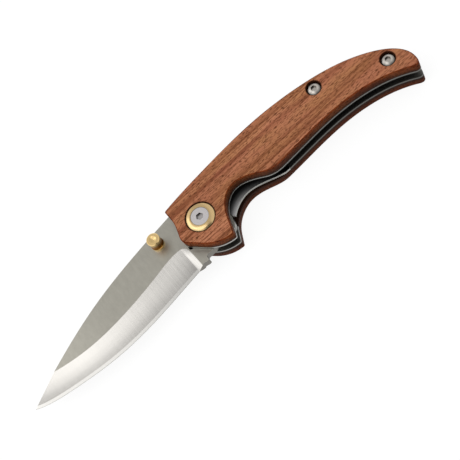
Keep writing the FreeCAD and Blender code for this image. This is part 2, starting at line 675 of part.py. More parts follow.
# The pivot: a barrel from the back, a screw from the front, a collar and a washer on each side.
back_head_top = size.pivot_head_thickness
screw_seat = show_face + size.pivot_rise - size.pivot_head_thickness
barrel_top = screw_seat - size.seat_fit
barrel_bore = size.pivot_shank_radius + size.seat_fit
shank_floor = screw_seat - size.pivot_shank_length
bore_floor = shank_floor - size.overrun
pivot_barrel = turned("pivot_barrel", polygon([
    (ZERO, ZERO), (size.pivot_head_radius, ZERO), (size.pivot_head_radius, back_head_top),
    (size.barrel_radius, back_head_top), (size.barrel_radius, barrel_top), (barrel_bore, barrel_top),
    (barrel_bore, bore_floor), (ZERO, bore_floor)]))
screw_top = show_face + size.pivot_rise
pivot_screw = turned("pivot_screw", polygon([
    (ZERO, shank_floor), (size.pivot_shank_radius, shank_floor),
    (size.pivot_shank_radius, screw_seat), (size.pivot_head_radius, screw_seat),
    (size.pivot_head_radius, screw_top), (ZERO, screw_top)]))
hexagon_socket(pivot_screw, screw_top, size.pivot_socket_width, size.pivot_socket_depth)

head_room = size.pivot_head_radius + size.running_fit
barrel_room = size.barrel_radius + size.seat_fit
rim_level = show_face - size.collar_rim_drop
crown_level = show_face + size.collar_crown
ring_width = size.collar_radius - head_room
collar_dome = (size.collar_radius - ring_width * COLLAR_DOME_SHARES[0],
               crown_level - (crown_level - rim_level) * COLLAR_DOME_SHARES[1])
pivot_collar_front = turned("pivot_collar_front", [
    [(barrel_room, scale_front_floor), (size.collar_radius, scale_front_floor)],
    [(size.collar_radius, scale_front_floor), (size.collar_radius, rim_level)],
    Arc([(size.collar_radius, rim_level), collar_dome, (head_room, crown_level)]),
    [(head_room, crown_level), (head_room, screw_seat)],
    [(head_room, screw_seat), (barrel_room, screw_seat)],
    [(barrel_room, screw_seat), (barrel_room, scale_front_floor)],
])
pivot_collar_back = turned("pivot_collar_back", polygon([
    (barrel_room, liner_back_floor), (size.collar_radius, liner_back_floor),
    (size.collar_radius, ZERO), (head_room, ZERO),
    (head_room, back_head_top), (barrel_room, back_head_top)]))


def washer(label, floor):
    return turned(label, polygon([
        (barrel_room, floor), (size.washer_radius, floor),
        (size.washer_radius, floor + size.washer_thickness), (barrel_room, floor + size.washer_thickness)]))


washer_back = washer("washer_back", liner_back_top)
washer_front = washer("washer_front", liner_front_floor - size.washer_thickness)

# The stop pin stands in both liners on its thinner ends.
pin_ends = size.stop_pin_end_radius
pin_body = turned("stop_pin", polygon([
    (ZERO, liner_back_floor), (pin_ends, liner_back_floor), (pin_ends, liner_back_top),
    (size.stop_pin_radius, liner_back_top), (size.stop_pin_radius, liner_front_floor),
    (pin_ends, liner_front_floor), (pin_ends, scale_front_floor), (ZERO, scale_front_floor)]))
place(pin_body, stop_pin[0], stop_pin[1], ZERO)

# Body screws from both faces into threaded barrels between the liners.
shank_length = size.scale_thickness - screw_seat_depth + size.liner_thickness + size.screw_grip
rim_height = size.screw_head_height - size.screw_crown
head_dome = (size.screw_head_radius * SCREW_DOME_SHARES[0],
             size.screw_head_height - size.screw_crown * SCREW_DOME_SHARES[1])
screw_sections = [
    [(ZERO, -shank_length), (size.screw_shank_radius, -shank_length)],
    [(size.screw_shank_radius, -shank_length), (size.screw_shank_radius, ZERO)],
    [(size.screw_shank_radius, ZERO), (size.screw_head_radius, ZERO)],
    [(size.screw_head_radius, ZERO), (size.screw_head_radius, rim_height)],
    Arc([(size.screw_head_radius, rim_height), head_dome, (ZERO, size.screw_head_height)]),
    [(ZERO, size.screw_head_height), (ZERO, -shank_length)],
]


def group(label, bodies):
    """Like pieces kept together as one node."""
    compound = document.addObject("Part::Compound", label)
    compound.Label = label
    compound.Links = bodies
    return compound


def body_screw_pair(label, seat, flipped):
    screws = []
    for number, (x, y) in enumerate(body_screws, start=1):
        screw = turned(f"{label}_{number}", screw_sections)
        hexagon_socket(screw, size.screw_head_height, size.screw_socket_width, size.screw_socket_depth)
        place(screw, x, y, seat, flipped)
        screws.append(screw)
    return group(label, screws)


screws_front = body_screw_pair("body_screws_front", show_face - screw_seat_depth, flipped=False)
screws_back = body_screw_pair("body_screws_back", screw_seat_depth, flipped=True)

barrels = []
for number, (x, y) in enumerate(body_screws, start=1):
    tube = turned(f"spacer_barrel_{number}", polygon([
        (screw_hole_radius, liner_back_top), (size.spacer_barrel_radius, liner_back_top),
        (size.spacer_barrel_radius, liner_front_floor), (screw_hole_radius, liner_front_floor)]))
    place(tube, x, y, ZERO)
    barrels.append(tube)
spacer_barrels = group("spacer_barrels", barrels)

# The thumb stud: a turned half on each face of the blade, joined by the front half's shank.
def stud_side(rise):
    """The outside of the stud, from its foot on the blade to the dish in its head."""
    foot = (size.stud_flange_radius, size.stud_flange_thickness)
    neck = (size.stud_head_radius, rise - size.stud_head_thickness)
    waist = (size.stud_waist_radius, (foot[1] + neck[1]) / 2)
    shoulder = (size.stud_head_radius, rise - size.stud_head_chamfer)
    crown = (size.stud_head_radius - size.stud_head_chamfer, rise)
    dish = (size.stud_dish_radius, rise)
    return [
        [(size.stud_flange_radius, ZERO), foot],
        Arc([foot, waist, neck]),
        [neck, shoulder],
        [shoulder, crown],
        [crown, dish],
        [dish, (ZERO, rise - size.stud_dish_depth)],
    ]


shank_end = -size.blade_thickness - size.stud_grip
stud_front = turned("thumb_stud", stud_side(size.stud_front_rise) + [
    [(ZERO, size.stud_front_rise - size.stud_dish_depth), (ZERO, shank_end)],
    [(ZERO, shank_end), (size.stud_shank_radius, shank_end)],
    [(size.stud_shank_radius, shank_end), (size.stud_shank_radius, ZERO)],
    [(size.stud_shank_radius, ZERO), (size.stud_flange_radius, ZERO)],
])
place(stud_front, thumb_stud[0], thumb_stud[1], blade_middle + blade_half)
nut_bore = size.stud_shank_radius + size.seat_fit
nut_floor = size.stud_grip + size.seat_fit
stud_back = turned("thumb_stud_nut", stud_side(size.stud_back_rise) + [
    [(ZERO, size.stud_back_rise - size.stud_dish_depth), (ZERO, nut_floor)],
    [(ZERO, nut_floor), (nut_bore, nut_floor)],
    [(nut_bore, nut_floor), (nut_bore, ZERO)],
    [(nut_bore, ZERO), (size.stud_flange_radius, ZERO)],
])
place(stud_back, thumb_stud[0], thumb_stud[1], blade_middle - blade_half, flipped=True)

document.recompute()
NODES = (
    scale_front, scale_back, liner_front, liner_back, lock_bar, detent_ball, backspacer, blade,
    pivot_barrel, pivot_screw, pivot_collar_front, pivot_collar_back, washer_front, washer_back,
    pin_body, screws_front, screws_back, spacer_barrels, stud_front, stud_back,
)
for item in document.Objects:
    if "Invalid" in item.State or "Error" in item.State:
        raise RuntimeError(f"{item.Label} failed: {item.State}")
for node in NODES:
    if node.Shape.isNull() or not node.Shape.isValid() or not node.Shape.Solids:
        raise RuntimeError(f"{node.Label} has no sound shape")

os.makedirs("parts", exist_ok=True)
for node in NODES:
    node.Shape.exportStep(f"parts/{node.Label}.step")
    print(node.Label, len(node.Shape.Solids), round(node.Shape.Volume, 2))
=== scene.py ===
import json
import math

import bpy
from mathutils import Matrix, Vector


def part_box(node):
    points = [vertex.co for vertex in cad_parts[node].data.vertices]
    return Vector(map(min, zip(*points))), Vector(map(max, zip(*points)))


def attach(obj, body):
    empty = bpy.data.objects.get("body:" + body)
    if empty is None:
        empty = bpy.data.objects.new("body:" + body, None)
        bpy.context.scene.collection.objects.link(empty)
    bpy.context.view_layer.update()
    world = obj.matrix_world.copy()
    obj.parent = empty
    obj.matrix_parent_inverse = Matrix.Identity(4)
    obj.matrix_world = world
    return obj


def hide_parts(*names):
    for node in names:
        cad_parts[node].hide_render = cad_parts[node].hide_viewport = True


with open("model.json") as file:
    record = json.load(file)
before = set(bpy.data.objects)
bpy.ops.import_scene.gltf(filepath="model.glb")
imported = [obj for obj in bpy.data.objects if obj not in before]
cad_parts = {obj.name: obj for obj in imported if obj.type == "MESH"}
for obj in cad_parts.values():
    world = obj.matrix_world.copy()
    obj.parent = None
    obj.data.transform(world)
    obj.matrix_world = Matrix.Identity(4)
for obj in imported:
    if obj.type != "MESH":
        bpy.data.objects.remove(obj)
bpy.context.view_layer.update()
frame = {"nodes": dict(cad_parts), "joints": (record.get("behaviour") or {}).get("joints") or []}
NODES = frame["nodes"]
MM = 0.001

# Half way through the handle, and from there to the faces of the scales, the blade and the stud's head.
MIDDLE = (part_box("scale_back")[0][2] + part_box("scale_front")[1][2]) / 2
SCALE_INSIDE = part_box("scale_front")[0][2] - MIDDLE
SCALE_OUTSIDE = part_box("scale_front")[1][2] - MIDDLE
BLADE_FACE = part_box("blade")[1][2] - MIDDLE
STUD_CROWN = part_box("thumb_stud")[1][2] - MIDDLE
LINER_MIDDLES = [sum(corner[2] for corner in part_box(name)) / 2 for name in ("liner_back", "liner_front")]

# Along the blade: where the bevels begin, and where the wheel's lines are faintest and strongest.
HEEL = -12.9 * MM
WHEEL_LINES = (-60 * MM, -12 * MM)
# Half the blade's thickness: at the foot of the hollow, where the sharpened strip begins,
# and where the dark line of the cutting edge is darkest and where it ends.
HOLLOW_FOOT = 0.25 * MM
STRIP_TOP = 0.277 * MM
KEEN_LINE = (0.02 * MM, 0.1 * MM)

# The finger groove: the axis of its round, from there to the edge of the lock bar,
# and how far in from that edge the bar's painted light turns to painted shade.
GROOVE_CENTRE = (19.3 * MM, -14.7 * MM)
GROOVE_RADIUS = 13.3 * MM
GROOVE_SHADE_WIDTH = 3.4 * MM
# Along the handle: where the liners' painted highlight line narrows, and where it fades.
LINE_NARROWS = (6 * MM, 26 * MM)
LINE_FADES = (24 * MM, 44 * MM)

# Radii of the holes in the wood, and how wide the painted shade at their rims is.
COLLAR_HOLE = 5.65 * MM
SCREW_HOLE = 2.92 * MM
HOLE_RIM = 0.3 * MM
# Radius of a spacer barrel, the radius and depth of the screws' sockets, and where painted shade darkens
# their heads.
SPACER_RADIUS = 2.2 * MM
PIVOT_SOCKET = (1.48 * MM, 0.8 * MM)
BODY_SOCKET = (1.2 * MM, 0.9 * MM)
PIVOT_RIM = (3.2 * MM, 3.5 * MM)
BODY_RIM = (1.55 * MM, 2.4 * MM)

# A face of a scale or a socket's floor counts as in its plane when it is this near.
SCALE_NEAR = 0.05 * MM
SOCKET_NEAR = 0.02 * MM
# How level a face lies, from 0 to 1: a flat of the blade, the limit of a wall, and on a scale
# where the wall turns into the chamfer and the chamfer into the face.
FLAT_LEVEL = 0.9995
WALL_LEVEL = 0.5
WALL_TO_CHAMFER = (0.4, 0.7)
CHAMFER_TO_FACE = (0.75, 0.95)

# The mottle of moulded nylon, drawn coarser than the real one so that it shows.
NYLON_MOTTLE = 0.4 * MM

# The floor's side in metres, and how far below the knife it lies.
FLOOR_SIZE = 6
FLOOR_GAP = 0.05 * MM
# Places of the softboxes, the way to the gap in the light tent, and the cosines from that way
# at which the gap begins and is full.
ABOVE_PLACE = (-0.44, -0.1, 0.75)
LEFT_PLACE = (-0.58, 0.42, 0.55)
GAP_WAY = (0.0, -0.7, 0.714)
GAP_EDGE = (0.88, 0.97)
# The camera of the photo, fitted to the knife: its place, and its right, up and back.
CAMERA_PLACE = (0.00304, -0.20908, 0.37467)
CAMERA_AXES = ((0.74181, -0.59005, -0.31867), (0.67060, 0.65002, 0.35745), (-0.00377, -0.47886, 0.87788))
CAMERA_SENSOR = 36
CAMERA_LENS = 93.91

bl_info = {
    "name": "Folding Knife Finish",
    "version": (1, 0, 0),
    "blender": (4, 5, 0),
    "location": "3D View > Sidebar > Knife",
    "description": "Finishes and studio for an open folding pocket knife with wooden scales",
    "category": "Object",
}


def linear(colour):
    """An sRGB hex colour as linear red, green and blue."""
    channels = [int(colour[place:place + 2], 16) / 255 for place in (1, 3, 5)]
    return tuple(c / 12.92 if c <= 0.04045 else ((c + 0.055) / 1.055) ** 2.4 for c in channels)


def grey(level):
    return (level, level, level)


def colour_property(name, description, colour):
    return bpy.props.FloatVectorProperty(
        name=name, description=description, subtype="COLOR", size=3, min=0, max=1, default=linear(colour))


def size_property(name, description, millimetres):
    return bpy.props.FloatProperty(
        name=name, description=description, subtype="DISTANCE", unit="LENGTH", default=millimetres * MM)


class WoodFinish(bpy.types.PropertyGroup):
    pale: colour_property("Pale grain", "Early wood between the bands", "#C0835E")
    ground: colour_property("Ground", "Main colour of the oiled wood", "#B27553")
    band: colour_property("Dark band", "Late wood in the bands along the grain", "#8F563B")
    cool: colour_property("Rosy patches", "Tint of the rosier patches", "#FFF7FF")
    warm: colour_property("Tawny patches", "Tint of the tawny patches", "#FBFDF4")
    growth: colour_property("Growth line", "Thin dark lines between the bands", "#744025")
    pore: colour_property("Pore", "Dark open pores", "#59311C")
    # Chamfer, wall, wall foot and back wall tints: sawn wood is darker, and these tints darken it further as
    # painted shade, most where the walls meet the liners and on the back scale.
    chamfer: colour_property("Chamfer", "Tint of the chamfer round a scale", "#BE9069")
    wall: colour_property("Wall", "Tint of the sawn edge at the outer face", "#CEAC82")
    foot: colour_property("Wall foot", "Tint of the sawn edge where it meets the liner", "#665640")
    back_shade: colour_property("Back wall", "Tint of the back scale's edge, which painted_shade darkens", "#C8B8B8")
    # Painted shade: near-black wood on the side of the liners and at the rims of the recesses.
    inside: colour_property("Inside", "Dark wood at the liners and in the recesses", "#2A170E")
    band_length: size_property("Band length", "Length of one band along the grain", 110)
    band_width: size_property("Band width", "Width of one band across the grain", 3.2)
    patch_length: size_property("Patch length", "Length of a rosy or tawny patch", 16)
    patch_width: size_property("Patch width", "Width of a rosy or tawny patch", 5)
    growth_length: size_property("Growth line length", "Length of a growth line along the grain", 110)
    growth_width: size_property("Growth line spacing", "From one growth line to the next", 2.4)
    fibre_length: size_property("Fibre length", "Length of one fibre", 9)
    fibre_width: size_property("Fibre width", "Width of one fibre", 0.3)
    pore_length: size_property("Pore length", "Length of one open pore", 1.6)
    pore_width: size_property("Pore width", "Width of one open pore", 0.26)


class SteelFinish(bpy.types.PropertyGroup):
    flat: colour_property("Blade flat", "Satin steel of the blade's flats", "#A8A59B")
    ground: colour_property("Blade grind", "Ground steel of the hollow bevels", "#D0CDC8")
    strip: colour_property("Sharpened strip", "Polished strip along the cutting edge", "#C2C0BC")
    # The blade's walls are the same steel, painted darker as shade.
    wall_shade: colour_property("Blade wall", "Steel of the blade's back and tang edge", "#77746E")
    # The bare steel also makes the liners' painted highlight, and the next colour is painted shade on the
    # liners' faces and edges.
    liner: colour_property("Bare steel", "Satin steel of the pins and of rubbed liners", "#B4B3AE")
    cut: colour_property("Shade_painted steel", "Shade_painted faces and edges of the liners", "#3C3A36")
    screw: colour_property("Screw", "Stainless steel of the body screws", "#C8C2BA")
    pivot: colour_property("Pivot screw", "Brighter steel of the pivot screw", "#D8D3D3")
    socket: colour_property("Socket", "Shaded hexagon sockets", "#4A453F")
    wash_length: size_property("Wash length", "Length of a stone-washed mark along the blade", 1.6)
    wash_width: size_property("Wash width", "Width of a stone-washed mark across the blade", 4)
    grind_line: size_property("Grind line", "Spacing of the wheel's lines across the bevel", 0.3)
    grind_length: size_property("Grind length", "Length of one of the wheel's lines", 14)
    mark_length: size_property("Mark length", "Length of a rolling mark on the sheet", 12)
    mark_width: size_property("Mark width", "Width of a rolling mark on the sheet", 0.25)
    # Two widths of the painted highlight line along the liners' edges: along the handle, and round the
    # pivot.
    highlight_line: size_property("Bright line", "Highlight line along the liners' cut edge", 0.25)
    wide_highlight_line: size_property("Highlight line", "The same line round the pivot, where the thumb rubs it", 0.6)
    lathe_line: size_property("Lathe line", "Spacing of the turned rings", 0.2)


class BrassFinish(bpy.types.PropertyGroup):
    brass: colour_property("Brass", "Turned brass of the collars", "#DFC08C")
    stud: colour_property("Stud", "Brighter brass of the thumb stud", "#F1D093")
    # The waist's tint is painted shade.
    waist: colour_property("Waist", "Tint of the stud's waist, which mirrors itself", "#A8834A")
    bronze: colour_property("Bronze", "Washers beside the blade", "#A9744A")
    lathe_line: size_property("Lathe line", "Spacing of the turned rings", 0.2)


class StudioLight(bpy.types.PropertyGroup):
    floor: colour_property("Floor", "Paper that the knife lies on", "#FFFFFF")
    box_length: size_property("Softbox length", "Longer side of a softbox", 800)
    box_width: size_property("Softbox width", "Shorter side of a softbox", 620)
    floor_glow: bpy.props.FloatProperty(
        name="Floor glow", description="How bright the paper looks by itself", subtype="FACTOR",
        min=0, max=1, default=0.88)
    floor_matt: bpy.props.FloatProperty(
        name="Floor shade", description="How much light the paper gives back", subtype="FACTOR",
        min=0, max=1, default=0.16)
    above_power: bpy.props.FloatProperty(
        name="Overhead power", description="Watts of the overhead softbox", unit="POWER", default=1.3)
    side_power: bpy.props.FloatProperty(
        name="Side power", description="Watts of the softbox beyond the point", unit="POWER", default=1.3)


def add_node(tree, kind, links=None, stops=None, give=0, **settings):
    """A node with its settings, its inputs set or linked and its colour stops: gives one of its outputs."""
    node = tree.nodes.new(kind)
    for name, value in settings.items():
        setattr(node, name, value)
    for name, value in (links or {}).items():
        socket = node.inputs[name]
        if isinstance(value, bpy.types.NodeSocket):
            tree.links.new(value, socket)
        elif socket.type == "RGBA":
            socket.default_value = (*value, 1)
        else:
            socket.default_value = value
    for number, (position, colour) in enumerate(stops or ()):
        elements = node.color_ramp.elements
        element = elements[number] if number < len(elements) else elements.new(position)
        element.position = position
        element.color = (*colour, 1)
    return None if give is None else node.outputs[give]


# A Mix node's sockets for colours are found by number: it has others with the same names.
FACTOR, UNDER, OVER = 0, 6, 7
BLEND = {"give": 2, "data_type": "RGBA"}
MULTIPLY = {"blend_type": "MULTIPLY", **BLEND}


def new_material(name):
    material = bpy.data.materials.new(name)
    material.use_nodes = True
    material.node_tree.nodes.clear()
    return material, material.node_tree


def close_surface(tree, sockets):
    """End a material with its shader."""
    shader = add_node(tree, "ShaderNodeBsdfPrincipled", sockets)
    add_node(tree, "ShaderNodeOutputMaterial", {"Surface": shader}, give=None)


def streaks(tree, length, width, **settings):
    """Uneven streaks of a length in X and a width in Y and Z."""
    place = add_node(tree, "ShaderNodeTexCoord", give="Object")
    spaced = add_node(tree, "ShaderNodeMapping", {
        "Vector": place, "Scale": (1 / length, 1 / width, 1 / width)})
    return add_node(tree, "ShaderNodeTexNoise", {"Vector": spaced, "Scale": 1.0, **settings})


def level_share(tree):
    """1 on faces that lie level, 0 on upright walls."""
    normal = add_node(tree, "ShaderNodeNewGeometry", give="True Normal")
    rise = add_node(tree, "ShaderNodeSeparateXYZ", {0: normal}, give="Z")
    return add_node(tree, "ShaderNodeMath", {0: rise}, operation="ABSOLUTE")


def coordinate(tree, axis):
    place = add_node(tree, "ShaderNodeTexCoord", give="Object")
    return add_node(tree, "ShaderNodeSeparateXYZ", {0: place}, give=axis)


def off_middle(tree):
    """Distance from the middle of the handle, up or down."""
    height = add_node(tree, "ShaderNodeMath", {0: coordinate(tree, "Z"), 1: MIDDLE}, operation="SUBTRACT")
    return add_node(tree, "ShaderNodeMath", {0: height}, operation="ABSOLUTE")


def axis_distance(tree, centres):
    """Distance from the nearest of some upright axes."""
    place = add_node(tree, "ShaderNodeTexCoord", give="Object")
    nearest = None
    for x, y in centres:
        centred = add_node(tree, "ShaderNodeMapping", {
            "Vector": place, "Location": (-x, -y, 0), "Scale": (1, 1, 0)})
        radius = add_node(tree, "ShaderNodeVectorMath", {0: centred}, give="Value", operation="LENGTH")
        if nearest is None:
            nearest = radius
        else:
            nearest = add_node(tree, "ShaderNodeMath", {0: nearest, 1: radius}, operation="MINIMUM")
    return nearest


def axis_of(name):
    """Middle of a turned node, seen from above."""
    low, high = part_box(name)
    return (low[0] + high[0]) / 2, (low[1] + high[1]) / 2


def screw_axes():
    """Axes of the two body screws: the one nearer the pivot stands higher."""
    low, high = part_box("spacer_barrels")
    near = (low[0] + SPACER_RADIUS, high[1] - SPACER_RADIUS)
    far = (high[0] - SPACER_RADIUS, low[1] + SPACER_RADIUS)
    return [near, far]


def dress(names, material):
    """Give CAD nodes one material."""
    for name in names:
        slots = NODES[name].data.materials
        slots.clear()
        slots.append(material)


def oiled_wood(finish):
    # Oiled mahogany: reddish bands and thin growth lines along the handle, short dark open pores,
    # a satin sheen that the pores break, and sawn edges of darker wood that painted shade darkens further.
    # Real fibres are too fine for the render, so they are drawn as coarse as it needs to show them.
    material, tree = new_material("oiled mahogany")
    bands = streaks(tree, finish.band_length, finish.band_width, Detail=3.0, Distortion=0.4)
    colour = add_node(tree, "ShaderNodeValToRGB", {"Fac": bands}, (
        (0.38, finish.band), (0.48, finish.ground), (0.68, finish.pale)))
    patches = streaks(tree, finish.patch_length, finish.patch_width, Detail=1.0)
    hue = add_node(tree, "ShaderNodeValToRGB", {"Fac": patches}, ((0.35, finish.cool), (0.65, finish.warm)))
    colour = add_node(tree, "ShaderNodeMix", {FACTOR: 1.0, UNDER: colour, OVER: hue}, **MULTIPLY)
    lines = streaks(tree, finish.growth_length, finish.growth_width, Detail=1.0, Distortion=0.5)
    line_mask = add_node(tree, "ShaderNodeValToRGB", {"Fac": lines}, (
        (0.46, grey(0)), (0.495, grey(0.8)), (0.53, grey(0))))
    colour = add_node(tree, "ShaderNodeMix", {
        FACTOR: line_mask, UNDER: colour, OVER: finish.growth}, **BLEND)
    fibres = streaks(tree, finish.fibre_length, finish.fibre_width, Detail=2.0)
    tone = add_node(tree, "ShaderNodeValToRGB", {"Fac": fibres}, ((0.3, grey(0.88)), (0.7, grey(1.0))))
    colour = add_node(tree, "ShaderNodeMix", {FACTOR: 1.0, UNDER: colour, OVER: tone}, **MULTIPLY)
    pores = streaks(tree, finish.pore_length, finish.pore_width, Detail=2.0)
    pore_mask = add_node(tree, "ShaderNodeValToRGB", {"Fac": pores}, ((0.54, grey(0)), (0.63, grey(0.9))))
    colour = add_node(tree, "ShaderNodeMix", {
        FACTOR: pore_mask, UNDER: colour, OVER: finish.pore}, **BLEND)

    # Painted shade darkens the sawn walls towards the liner and along the back scale; along the handle
    # the front scale's walls are painted lighter near the pivot and darker in the finger groove.
    depth = off_middle(tree)
    outward = add_node(tree, "ShaderNodeMapRange", {
        "Value": depth, "From Min": SCALE_INSIDE, "From Max": SCALE_OUTSIDE})
    wall = add_node(tree, "ShaderNodeValToRGB", {"Fac": outward}, ((0.05, finish.foot), (0.75, finish.wall)))
    low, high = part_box("scale_front")
    along = add_node(tree, "ShaderNodeMapRange", {
        "Value": coordinate(tree, "X"), "From Min": low[0], "From Max": high[0]})
    front = add_node(tree, "ShaderNodeValToRGB", {"Fac": along}, (
        (0.12, grey(1.25)), (0.18, grey(0.7)), (0.42, grey(0.7)), (0.58, grey(1.0))))
    back_shade = add_node(tree, "ShaderNodeMath", {0: coordinate(tree, "Z"), 1: MIDDLE}, operation="LESS_THAN")
    side = add_node(tree, "ShaderNodeMix", {FACTOR: back_shade, UNDER: front, OVER: finish.back_shade}, **BLEND)
    wall = add_node(tree, "ShaderNodeMix", {FACTOR: 1.0, UNDER: wall, OVER: side}, **MULTIPLY)

    # From the wall over the chamfer, tinted darker as painted shade, to the face, and painted shade:
    # near-black wood on the side of the liners.
    level = level_share(tree)
    chamfer_mask = add_node(tree, "ShaderNodeMapRange", {
        "Value": level, "From Min": WALL_TO_CHAMFER[0], "From Max": WALL_TO_CHAMFER[1]})
    face_mask = add_node(tree, "ShaderNodeMapRange", {
        "Value": level, "From Min": CHAMFER_TO_FACE[0], "From Max": CHAMFER_TO_FACE[1]})
    tint = add_node(tree, "ShaderNodeMix", {
        FACTOR: chamfer_mask, UNDER: wall, OVER: finish.chamfer}, **BLEND)
    tint = add_node(tree, "ShaderNodeMix", {FACTOR: face_mask, UNDER: tint, OVER: grey(1.0)}, **BLEND)
    colour = add_node(tree, "ShaderNodeMix", {FACTOR: 1.0, UNDER: colour, OVER: tint}, **MULTIPLY)
    behind = add_node(tree, "ShaderNodeMath", {0: depth, 1: SCALE_INSIDE + SCALE_NEAR},
                      operation="LESS_THAN")
    colour = add_node(tree, "ShaderNodeMix", {FACTOR: behind, UNDER: colour, OVER: finish.inside}, **BLEND)

    # Painted shade darkens the wood at the rims of the collar's hole and the screws' recesses.
    shaded_rims = []
    for centres, hole in (([axis_of("pivot_collar_front")], COLLAR_HOLE), (screw_axes(), SCREW_HOLE)):
        shaded_rims.append(add_node(tree, "ShaderNodeMapRange", {
            "Value": axis_distance(tree, centres), "From Min": hole + HOLE_RIM, "From Max": hole,
            "To Max": 0.8}))
    shaded_rim = add_node(tree, "ShaderNodeMath", {0: shaded_rims[0], 1: shaded_rims[1]}, operation="MAXIMUM")
    colour = add_node(tree, "ShaderNodeMix", {FACTOR: shaded_rim, UNDER: colour, OVER: finish.inside}, **BLEND)

    roughness = add_node(tree, "ShaderNodeMapRange", {
        "Value": pores, "From Min": 0.4, "From Max": 0.7, "To Min": 0.48, "To Max": 0.7})
    bump = add_node(tree, "ShaderNodeBump", {"Height": pore_mask, "Strength": 0.5, "Distance": 0.05 * MM},
                    invert=True)
    close_surface(tree, {"Base Color": colour, "Roughness": roughness, "Normal": bump,
                         "IOR": 1.5, "Specular IOR Level": 0.05})
    return material


def ground_blade_steel(finish):
    # Stainless blade steel: stone-washed flats in a soft warm grey, hollow bevels with the wheel's
    # lines across them, strongest at the heel, a polished strip along the edge, and walls painted dark as
    # shade.
    # The wheel's lines and the washed marks are drawn coarser than the real ones so that they show.
    material, tree = new_material("ground blade steel")
    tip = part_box("blade")[0][0]
    along = add_node(tree, "ShaderNodeMapRange", {
        "Value": coordinate(tree, "X"), "From Min": tip, "From Max": HEEL})
    wash = streaks(tree, finish.wash_length, finish.wash_width, Detail=4.0, Roughness=0.65)
    wash_tone = add_node(tree, "ShaderNodeValToRGB", {"Fac": wash}, ((0.3, grey(0.88)), (0.7, grey(1.0))))
    # Painted light along the flats: lighter towards the tip, and a little darker in the middle.
    flat_shading = add_node(tree, "ShaderNodeValToRGB", {"Fac": along}, (
        (0.3, grey(1.1)), (0.55, grey(0.97)), (0.9, grey(1.0))))
    flat_colour = add_node(tree, "ShaderNodeMix", {
        FACTOR: 1.0, UNDER: finish.flat, OVER: wash_tone}, **MULTIPLY)
    flat_colour = add_node(tree, "ShaderNodeMix", {
        FACTOR: 1.0, UNDER: flat_colour, OVER: flat_shading}, **MULTIPLY)

    # The bevels: wheel lines, painted shade in the hollow towards the edge, and painted light and shade
    # along the blade, brightest shortly before the heel and dimmer near the tip and at the heel.
    lines = streaks(tree, finish.grind_line, finish.grind_length, Detail=3.0)
    line_tone = add_node(tree, "ShaderNodeValToRGB", {"Fac": lines}, ((0.35, grey(0.88)), (0.65, grey(1.0))))
    strength = add_node(tree, "ShaderNodeMapRange", {
        "Value": coordinate(tree, "X"), "From Min": WHEEL_LINES[0], "From Max": WHEEL_LINES[1],
        "To Min": 0.25, "To Max": 1.0})
    bevel_colour = add_node(tree, "ShaderNodeMix", {
        FACTOR: strength, UNDER: finish.ground, OVER: line_tone}, **MULTIPLY)
    thickness = off_middle(tree)
    hollow = add_node(tree, "ShaderNodeMapRange", {
        "Value": thickness, "From Min": HOLLOW_FOOT, "From Max": BLADE_FACE})
    hollow_shade = add_node(tree, "ShaderNodeValToRGB", {"Fac": hollow}, (
        (0.0, grey(0.74)), (0.3, grey(0.92)), (0.6, grey(1.0))))
    bevel_colour = add_node(tree, "ShaderNodeMix", {
        FACTOR: 1.0, UNDER: bevel_colour, OVER: hollow_shade}, **MULTIPLY)
    reach_shading = add_node(tree, "ShaderNodeValToRGB", {"Fac": along}, (
        (0.1, grey(0.9)), (0.35, grey(1.0)), (0.75, grey(1.0)),
        (0.9, grey(1.1)), (0.965, grey(0.98)), (1.0, grey(0.84))))
    bevel_colour = add_node(tree, "ShaderNodeMix", {
        FACTOR: 1.0, UNDER: bevel_colour, OVER: reach_shading}, **MULTIPLY)

    # The sharpened strip, with a thin dark line at the cutting edge itself.
    strip = add_node(tree, "ShaderNodeMath", {0: thickness, 1: STRIP_TOP}, operation="LESS_THAN")
    keen = add_node(tree, "ShaderNodeMapRange", {
        "Value": thickness, "From Min": KEEN_LINE[0], "From Max": KEEN_LINE[1],
        "To Min": 0.5, "To Max": 1.0})
    strip_colour = add_node(tree, "ShaderNodeMix", {
        FACTOR: 1.0, UNDER: finish.strip, OVER: keen}, **MULTIPLY)
    bevel_colour = add_node(tree, "ShaderNodeMix", {
        FACTOR: strip, UNDER: bevel_colour, OVER: strip_colour}, **BLEND)

    level = level_share(tree)
    flat = add_node(tree, "ShaderNodeMath", {0: level, 1: FLAT_LEVEL}, operation="GREATER_THAN")
    face = add_node(tree, "ShaderNodeMath", {0: level, 1: WALL_LEVEL}, operation="GREATER_THAN")
    colour = add_node(tree, "ShaderNodeMix", {
        FACTOR: flat, UNDER: bevel_colour, OVER: flat_colour}, **BLEND)
    colour = add_node(tree, "ShaderNodeMix", {FACTOR: face, UNDER: finish.wall_shade, OVER: colour}, **BLEND)
    roughness = add_node(tree, "ShaderNodeMapRange", {"Value": flat, "To Min": 0.26, "To Max": 0.4})
    bump = add_node(tree, "ShaderNodeBump", {"Height": lines, "Strength": 0.2, "Distance": 0.01 * MM})
    close_surface(tree, {"Base Color": colour, "Metallic": 1.0, "Roughness": roughness, "Normal": bump})
    return material


def rolling_marks(tree, finish):
    """Marks of rolled sheet along the handle, drawn coarser than real ones: gives their tone and bump."""
    marks = streaks(tree, finish.mark_length, finish.mark_width, Detail=2.0)
    tone = add_node(tree, "ShaderNodeValToRGB", {"Fac": marks}, ((0.3, grey(0.88)), (0.7, grey(1.0))))
    bump = add_node(tree, "ShaderNodeBump", {"Height": marks, "Strength": 0.25, "Distance": 0.02 * MM})
    return tone, bump


